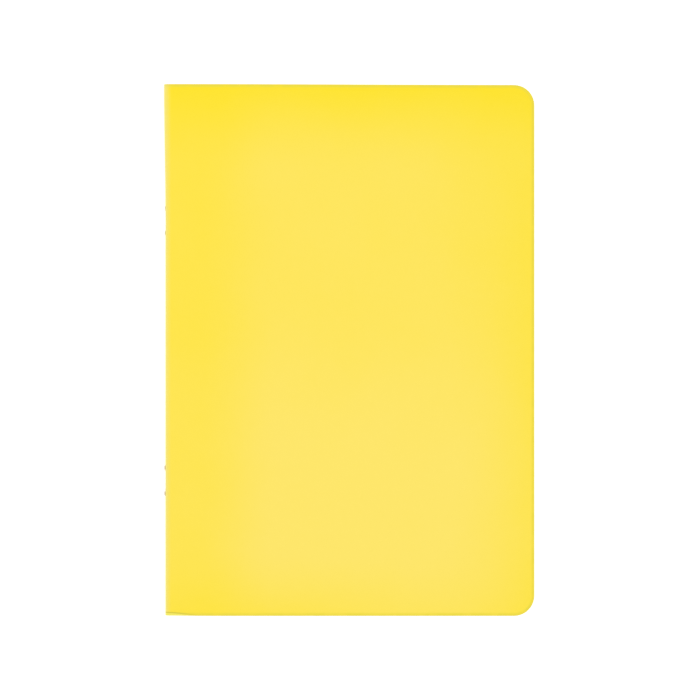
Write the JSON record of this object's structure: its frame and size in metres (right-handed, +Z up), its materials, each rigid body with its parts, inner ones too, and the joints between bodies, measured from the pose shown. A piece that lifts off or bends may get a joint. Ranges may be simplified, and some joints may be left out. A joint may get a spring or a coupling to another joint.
{
  "type": "stapled exercise book",
  "caption": "Thin closed exercise book with a plain yellow card cover, rounded fore-edge corners and wire staples through the fold; the cover and the leaves open.",
  "frame": {"origin": "middle of the book's outline, staples included, on the plane that its back cover lies on", "axes": "+Z up through the book's thickness, out of the front cover; +Y along the spine to the head; -X to the spine"},
  "size_m": [0.1466, 0.21, 0.0046],
  "materials": {
    "cover_card": "smooth satin coated card",
    "page_paper": "matte writing paper, ruled",
    "staple_wire": "drawn wire"
  },
  "bodies": {
    "back_cover": {"back_cover": "cover_card"},
    "binding": {"cover_spine": "cover_card", "sheet_01_fold": "page_paper", "sheet_02_fold": "page_paper", "sheet_03_fold": "page_paper", "sheet_04_fold": "page_paper", "sheet_05_fold": "page_paper", "sheet_06_fold": "page_paper", "sheet_07_fold": "page_paper", "sheet_08_fold": "page_paper", "sheet_09_fold": "page_paper", "sheet_10_fold": "page_paper", "sheet_11_fold": "page_paper", "sheet_12_fold": "page_paper", "sheet_13_fold": "page_paper", "sheet_14_fold": "page_paper", "sheet_15_fold": "page_paper", "sheet_16_fold": "page_paper", "upper_staple": "staple_wire", "lower_staple": "staple_wire"},
    "sheet_01_back_leaf": {"sheet_01_back_leaf": "page_paper"},
    "sheet_02_back_leaf": {"sheet_02_back_leaf": "page_paper"},
    "sheet_03_back_leaf": {"sheet_03_back_leaf": "page_paper"},
    "sheet_04_back_leaf": {"sheet_04_back_leaf": "page_paper"},
    "sheet_05_back_leaf": {"sheet_05_back_leaf": "page_paper"},
    "sheet_06_back_leaf": {"sheet_06_back_leaf": "page_paper"},
    "sheet_07_back_leaf": {"sheet_07_back_leaf": "page_paper"},
    "sheet_08_back_leaf": {"sheet_08_back_leaf": "page_paper"},
    "sheet_09_back_leaf": {"sheet_09_back_leaf": "page_paper"},
    "sheet_10_back_leaf": {"sheet_10_back_leaf": "page_paper"},
    "sheet_11_back_leaf": {"sheet_11_back_leaf": "page_paper"},
    "sheet_12_back_leaf": {"sheet_12_back_leaf": "page_paper"},
    "sheet_13_back_leaf": {"sheet_13_back_leaf": "page_paper"},
    "sheet_14_back_leaf": {"sheet_14_back_leaf": "page_paper"},
    "sheet_15_back_leaf": {"sheet_15_back_leaf": "page_paper"},
    "sheet_16_back_leaf": {"sheet_16_back_leaf": "page_paper"},
    "sheet_01_front_leaf": {"sheet_01_front_leaf": "page_paper"},
    "sheet_02_front_leaf": {"sheet_02_front_leaf": "page_paper"},
    "sheet_03_front_leaf": {"sheet_03_front_leaf": "page_paper"},
    "sheet_04_front_leaf": {"sheet_04_front_leaf": "page_paper"},
    "sheet_05_front_leaf": {"sheet_05_front_leaf": "page_paper"},
    "sheet_06_front_leaf": {"sheet_06_front_leaf": "page_paper"},
    "sheet_07_front_leaf": {"sheet_07_front_leaf": "page_paper"},
    "sheet_08_front_leaf": {"sheet_08_front_leaf": "page_paper"},
    "sheet_09_front_leaf": {"sheet_09_front_leaf": "page_paper"},
    "sheet_10_front_leaf": {"sheet_10_front_leaf": "page_paper"},
    "sheet_11_front_leaf": {"sheet_11_front_leaf": "page_paper"},
    "sheet_12_front_leaf": {"sheet_12_front_leaf": "page_paper"},
    "sheet_13_front_leaf": {"sheet_13_front_leaf": "page_paper"},
    "sheet_14_front_leaf": {"sheet_14_front_leaf": "page_paper"},
    "sheet_15_front_leaf": {"sheet_15_front_leaf": "page_paper"},
    "sheet_16_front_leaf": {"sheet_16_front_leaf": "page_paper"},
    "front_cover": {"front_cover": "cover_card"}
  },
  "joints": [
    {"name": "book_opening", "type": "hinge", "parent": "back_cover", "child": "sheet_01_front_leaf", "pos_m": [-0.07044, 0, 0.0023], "axis": [0, -1, 0], "range_deg": [0, 178], "deforming": ["cover_spine", "sheet_01_fold", "sheet_02_fold", "sheet_03_fold", "sheet_04_fold", "sheet_05_fold", "sheet_06_fold", "sheet_07_fold", "sheet_08_fold", "sheet_09_fold", "sheet_10_fold", "sheet_11_fold", "sheet_12_fold", "sheet_13_fold", "sheet_14_fold", "sheet_15_fold", "sheet_16_fold"]},
    {"name": "front_cover_hinge", "type": "hinge", "parent": "sheet_01_front_leaf", "child": "front_cover", "pos_m": [-0.06994, 0, 0.005], "axis": [0, -1, 0], "range_deg": [0, 178]},
    {"name": "binding_turn", "type": "hinge", "parent": "back_cover", "child": "binding", "pos_m": [-0.07044, 0, 0.0023], "axis": [0, -1, 0], "range_deg": [0, 89]},
    {"name": "sheet_02_front_leaf_turn", "type": "hinge", "parent": "back_cover", "child": "sheet_02_front_leaf", "pos_m": [-0.07044, 0, 0.0023], "axis": [0, -1, 0], "range_deg": [0, 177.82]},
    {"name": "sheet_03_front_leaf_turn", "type": "hinge", "parent": "back_cover", "child": "sheet_03_front_leaf", "pos_m": [-0.07044, 0, 0.0023], "axis": [0, -1, 0], "range_deg": [0, 177.64]},
    {"name": "sheet_04_front_leaf_turn", "type": "hinge", "parent": "back_cover", "child": "sheet_04_front_leaf", "pos_m": [-0.07044, 0, 0.0023], "axis": [0, -1, 0], "range_deg": [0, 177.47]},
    {"name": "sheet_05_front_leaf_turn", "type": "hinge", "parent": "back_cover", "child": "sheet_05_front_leaf", "pos_m": [-0.07044, 0, 0.0023], "axis": [0, -1, 0], "range_deg": [0, 177.29]},
    {"name": "sheet_06_front_leaf_turn", "type": "hinge", "parent": "back_cover", "child": "sheet_06_front_leaf", "pos_m": [-0.07044, 0, 0.0023], "axis": [0, -1, 0], "range_deg": [0, 177.11]},
    {"name": "sheet_07_front_leaf_turn", "type": "hinge", "parent": "back_cover", "child": "sheet_07_front_leaf", "pos_m": [-0.07044, 0, 0.0023], "axis": [0, -1, 0], "range_deg": [0, 176.93]},
    {"name": "sheet_08_front_leaf_turn", "type": "hinge", "parent": "back_cover", "child": "sheet_08_front_leaf", "pos_m": [-0.07044, 0, 0.0023], "axis": [0, -1, 0], "range_deg": [0, 176.75]},
    {"name": "sheet_09_front_leaf_turn", "type": "hinge", "parent": "back_cover", "child": "sheet_09_front_leaf", "pos_m": [-0.07044, 0, 0.0023], "axis": [0, -1, 0], "range_deg": [0, 176.58]},
    {"name": "sheet_10_front_leaf_turn", "type": "hinge", "parent": "back_cover", "child": "sheet_10_front_leaf", "pos_m": [-0.07044, 0, 0.0023], "axis": [0, -1, 0], "range_deg": [0, 176.4]},
    {"name": "sheet_11_front_leaf_turn", "type": "hinge", "parent": "back_cover", "child": "sheet_11_front_leaf", "pos_m": [-0.07044, 0, 0.0023], "axis": [0, -1, 0], "range_deg": [0, 176.22]},
    {"name": "sheet_12_front_leaf_turn", "type": "hinge", "parent": "back_cover", "child": "sheet_12_front_leaf", "pos_m": [-0.07044, 0, 0.0023], "axis": [0, -1, 0], "range_deg": [0, 176.04]},
    {"name": "sheet_13_front_leaf_turn", "type": "hinge", "parent": "back_cover", "child": "sheet_13_front_leaf", "pos_m": [-0.07044, 0, 0.0023], "axis": [0, -1, 0], "range_deg": [0, 175.86]},
    {"name": "sheet_14_front_leaf_turn", "type": "hinge", "parent": "back_cover", "child": "sheet_14_front_leaf", "pos_m": [-0.07044, 0, 0.0023], "axis": [0, -1, 0], "range_deg": [0, 175.69]},
    {"name": "sheet_15_front_leaf_turn", "type": "hinge", "parent": "back_cover", "child": "sheet_15_front_leaf", "pos_m": [-0.07044, 0, 0.0023], "axis": [0, -1, 0], "range_deg": [0, 175.51]},
    {"name": "sheet_16_front_leaf_turn", "type": "hinge", "parent": "back_cover", "child": "sheet_16_front_leaf", "pos_m": [-0.07044, 0, 0.0023], "axis": [0, -1, 0], "range_deg": [0, 175.33]},
    {"name": "sheet_01_back_leaf_turn", "type": "hinge", "parent": "back_cover", "child": "sheet_01_back_leaf", "pos_m": [-0.07044, 0, 0.0023], "axis": [0, -1, 0], "range_deg": [0, 0.178]},
    {"name": "sheet_02_back_leaf_turn", "type": "hinge", "parent": "back_cover", "child": "sheet_02_back_leaf", "pos_m": [-0.07044, 0, 0.0023], "axis": [0, -1, 0], "range_deg": [0, 0.356]},
    {"name": "sheet_03_back_leaf_turn", "type": "hinge", "parent": "back_cover", "child": "sheet_03_back_leaf", "pos_m": [-0.07044, 0, 0.0023], "axis": [0, -1, 0], "range_deg": [0, 0.534]},
    {"name": "sheet_04_back_leaf_turn", "type": "hinge", "parent": "back_cover", "child": "sheet_04_back_leaf", "pos_m": [-0.07044, 0, 0.0023], "axis": [0, -1, 0], "range_deg": [0, 0.712]},
    {"name": "sheet_05_back_leaf_turn", "type": "hinge", "parent": "back_cover", "child": "sheet_05_back_leaf", "pos_m": [-0.07044, 0, 0.0023], "axis": [0, -1, 0], "range_deg": [0, 0.89]},
    {"name": "sheet_06_back_leaf_turn", "type": "hinge", "parent": "back_cover", "child": "sheet_06_back_leaf", "pos_m": [-0.07044, 0, 0.0023], "axis": [0, -1, 0], "range_deg": [0, 1.07]},
    {"name": "sheet_07_back_leaf_turn", "type": "hinge", "parent": "back_cover", "child": "sheet_07_back_leaf", "pos_m": [-0.07044, 0, 0.0023], "axis": [0, -1, 0], "range_deg": [0, 1.25]},
    {"name": "sheet_08_back_leaf_turn", "type": "hinge", "parent": "back_cover", "child": "sheet_08_back_leaf", "pos_m": [-0.07044, 0, 0.0023], "axis": [0, -1, 0], "range_deg": [0, 1.42]},
    {"name": "sheet_09_back_leaf_turn", "type": "hinge", "parent": "back_cover", "child": "sheet_09_back_leaf", "pos_m": [-0.07044, 0, 0.0023], "axis": [0, -1, 0], "range_deg": [0, 1.6]},
    {"name": "sheet_10_back_leaf_turn", "type": "hinge", "parent": "back_cover", "child": "sheet_10_back_leaf", "pos_m": [-0.07044, 0, 0.0023], "axis": [0, -1, 0], "range_deg": [0, 1.78]},
    {"name": "sheet_11_back_leaf_turn", "type": "hinge", "parent": "back_cover", "child": "sheet_11_back_leaf", "pos_m": [-0.07044, 0, 0.0023], "axis": [0, -1, 0], "range_deg": [0, 1.96]},
    {"name": "sheet_12_back_leaf_turn", "type": "hinge", "parent": "back_cover", "child": "sheet_12_back_leaf", "pos_m": [-0.07044, 0, 0.0023], "axis": [0, -1, 0], "range_deg": [0, 2.14]},
    {"name": "sheet_13_back_leaf_turn", "type": "hinge", "parent": "back_cover", "child": "sheet_13_back_leaf", "pos_m": [-0.07044, 0, 0.0023], "axis": [0, -1, 0], "range_deg": [0, 2.31]},
    {"name": "sheet_14_back_leaf_turn", "type": "hinge", "parent": "back_cover", "child": "sheet_14_back_leaf", "pos_m": [-0.07044, 0, 0.0023], "axis": [0, -1, 0], "range_deg": [0, 2.49]},
    {"name": "sheet_15_back_leaf_turn", "type": "hinge", "parent": "back_cover", "child": "sheet_15_back_leaf", "pos_m": [-0.07044, 0, 0.0023], "axis": [0, -1, 0], "range_deg": [0, 2.67]},
    {"name": "sheet_16_back_leaf_turn", "type": "hinge", "parent": "back_cover", "child": "sheet_16_back_leaf", "pos_m": [-0.07044, 0, 0.0023], "axis": [0, -1, 0], "range_deg": [0, 2.85]}
  ],
  "couplings": [
    {"joint": "binding_turn", "follows": "book_opening", "ratio": 0.5},
    {"joint": "sheet_02_front_leaf_turn", "follows": "book_opening", "ratio": 0.999},
    {"joint": "sheet_03_front_leaf_turn", "follows": "book_opening", "ratio": 0.998},
    {"joint": "sheet_04_front_leaf_turn", "follows": "book_opening", "ratio": 0.997},
    {"joint": "sheet_05_front_leaf_turn", "follows": "book_opening", "ratio": 0.996},
    {"joint": "sheet_06_front_leaf_turn", "follows": "book_opening", "ratio": 0.995},
    {"joint": "sheet_07_front_leaf_turn", "follows": "book_opening", "ratio": 0.994},
    {"joint": "sheet_08_front_leaf_turn", "follows": "book_opening", "ratio": 0.993},
    {"joint": "sheet_09_front_leaf_turn", "follows": "book_opening", "ratio": 0.992},
    {"joint": "sheet_10_front_leaf_turn", "follows": "book_opening", "ratio": 0.991},
    {"joint": "sheet_11_front_leaf_turn", "follows": "book_opening", "ratio": 0.99},
    {"joint": "sheet_12_front_leaf_turn", "follows": "book_opening", "ratio": 0.989},
    {"joint": "sheet_13_front_leaf_turn", "follows": "book_opening", "ratio": 0.988},
    {"joint": "sheet_14_front_leaf_turn", "follows": "book_opening", "ratio": 0.987},
    {"joint": "sheet_15_front_leaf_turn", "follows": "book_opening", "ratio": 0.986},
    {"joint": "sheet_16_front_leaf_turn", "follows": "book_opening", "ratio": 0.985},
    {"joint": "sheet_01_back_leaf_turn", "follows": "book_opening", "ratio": 0.001},
    {"joint": "sheet_02_back_leaf_turn", "follows": "book_opening", "ratio": 0.002},
    {"joint": "sheet_03_back_leaf_turn", "follows": "book_opening", "ratio": 0.003},
    {"joint": "sheet_04_back_leaf_turn", "follows": "book_opening", "ratio": 0.004},
    {"joint": "sheet_05_back_leaf_turn", "follows": "book_opening", "ratio": 0.005},
    {"joint": "sheet_06_back_leaf_turn", "follows": "book_opening", "ratio": 0.006},
    {"joint": "sheet_07_back_leaf_turn", "follows": "book_opening", "ratio": 0.007},
    {"joint": "sheet_08_back_leaf_turn", "follows": "book_opening", "ratio": 0.008},
    {"joint": "sheet_09_back_leaf_turn", "follows": "book_opening", "ratio": 0.009},
    {"joint": "sheet_10_back_leaf_turn", "follows": "book_opening", "ratio": 0.01},
    {"joint": "sheet_11_back_leaf_turn", "follows": "book_opening", "ratio": 0.011},
    {"joint": "sheet_12_back_leaf_turn", "follows": "book_opening", "ratio": 0.012},
    {"joint": "sheet_13_back_leaf_turn", "follows": "book_opening", "ratio": 0.013},
    {"joint": "sheet_14_back_leaf_turn", "follows": "book_opening", "ratio": 0.014},
    {"joint": "sheet_15_back_leaf_turn", "follows": "book_opening", "ratio": 0.015},
    {"joint": "sheet_16_back_leaf_turn", "follows": "book_opening", "ratio": 0.016}
  ]
}
